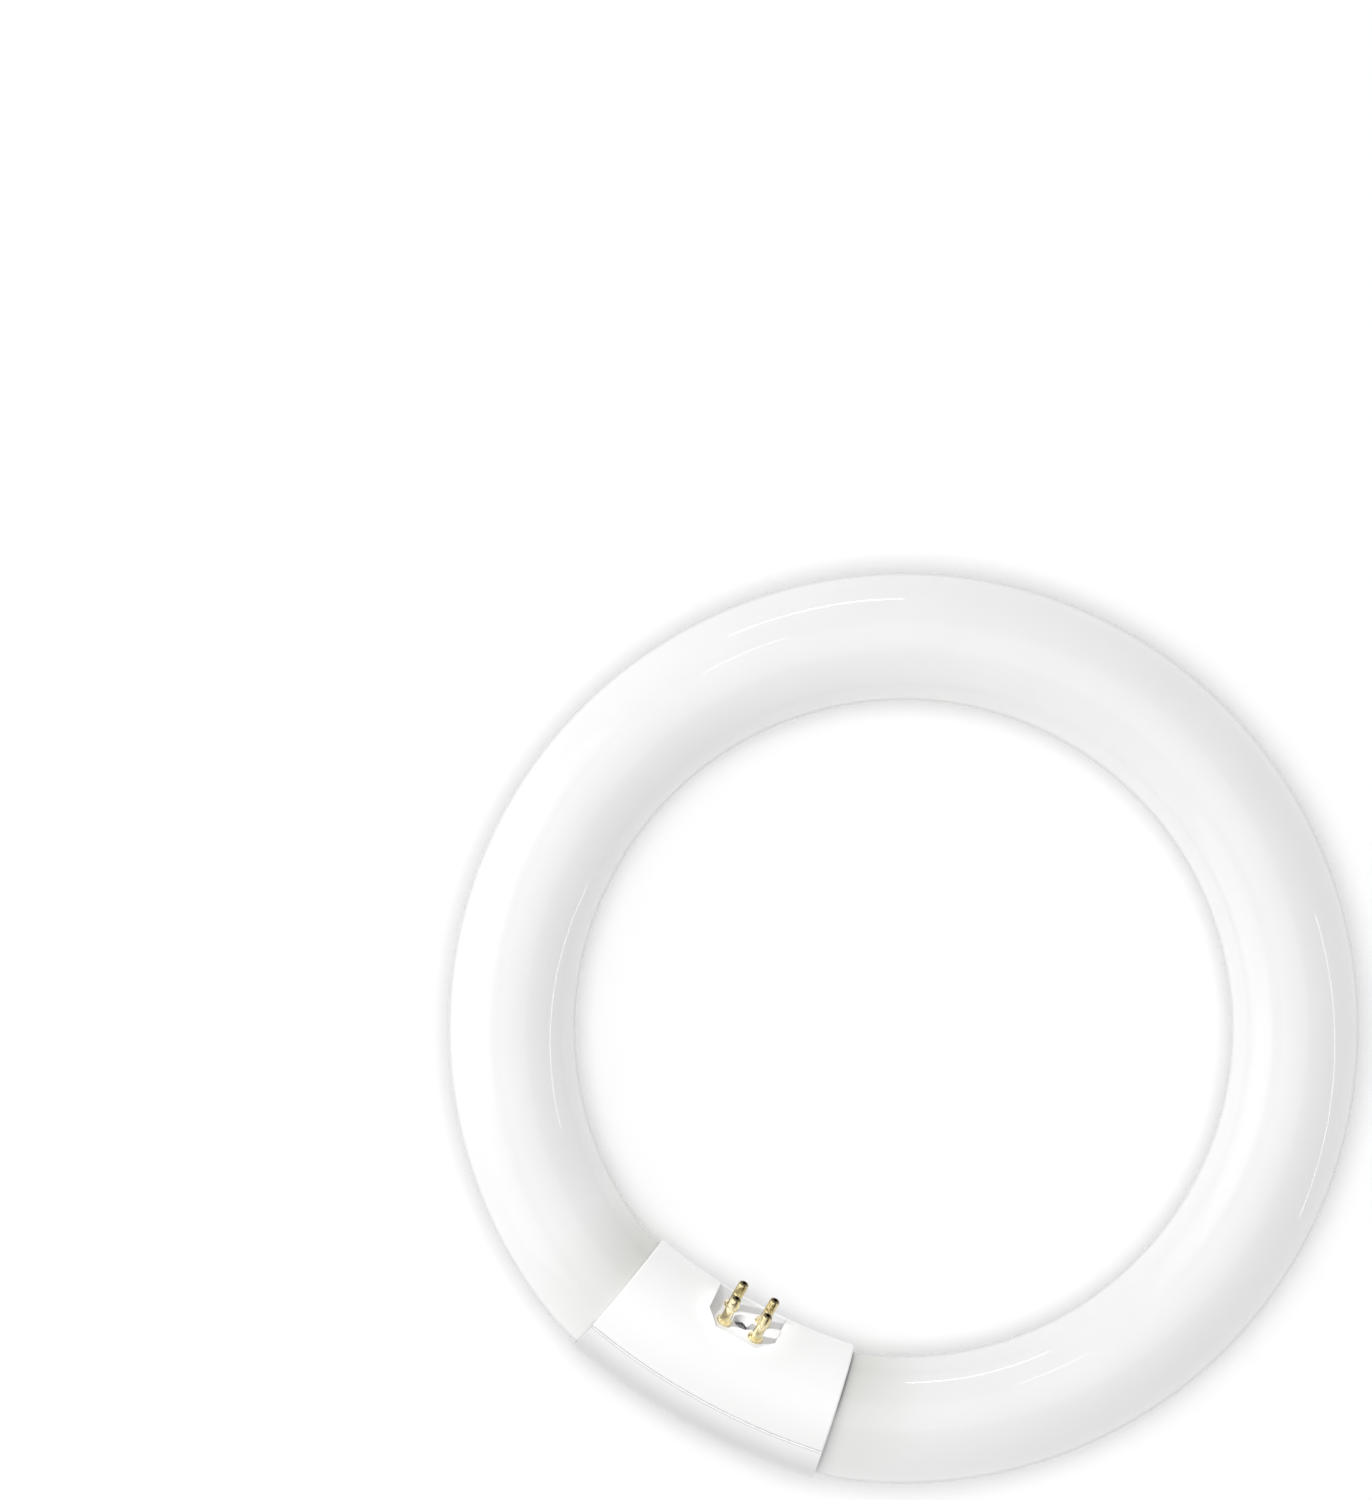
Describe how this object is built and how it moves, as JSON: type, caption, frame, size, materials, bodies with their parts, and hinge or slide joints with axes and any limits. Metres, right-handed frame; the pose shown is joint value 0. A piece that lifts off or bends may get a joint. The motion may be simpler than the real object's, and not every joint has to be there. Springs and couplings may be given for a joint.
{
  "type": "circular fluorescent tube",
  "caption": "Ring-shaped fluorescent tube of coated glass, joined by a split plastic cap whose recess holds slanted contact pins.",
  "frame": {"origin": "centre of the glass ring, on its middle plane, which is also the centre of the part's box", "axes": "+Z along the ring's axis toward the side that the pins lean to, -Y from the ring's centre to the cap, X along the cap"},
  "size_m": [0.205, 0.2039, 0.0312],
  "materials": {
    "coated_glass": "gloss",
    "cap_plastic": "satin",
    "pin_brass": "polished",
    "screw_steel": "polished",
    "lead_wire": "satin"
  },
  "bodies": {
    "root": {"glass_tube": "coated_glass", "pin_shell": "cap_plastic", "back_shell": "cap_plastic", "clamp_screw": "screw_steel", "pin_front_left": "pin_brass", "lead_front_left": "lead_wire", "pin_front_right": "pin_brass", "lead_front_right": "lead_wire", "pin_rear_left": "pin_brass", "lead_rear_left": "lead_wire", "pin_rear_right": "pin_brass", "lead_rear_right": "lead_wire"}
  },
  "joints": []
}
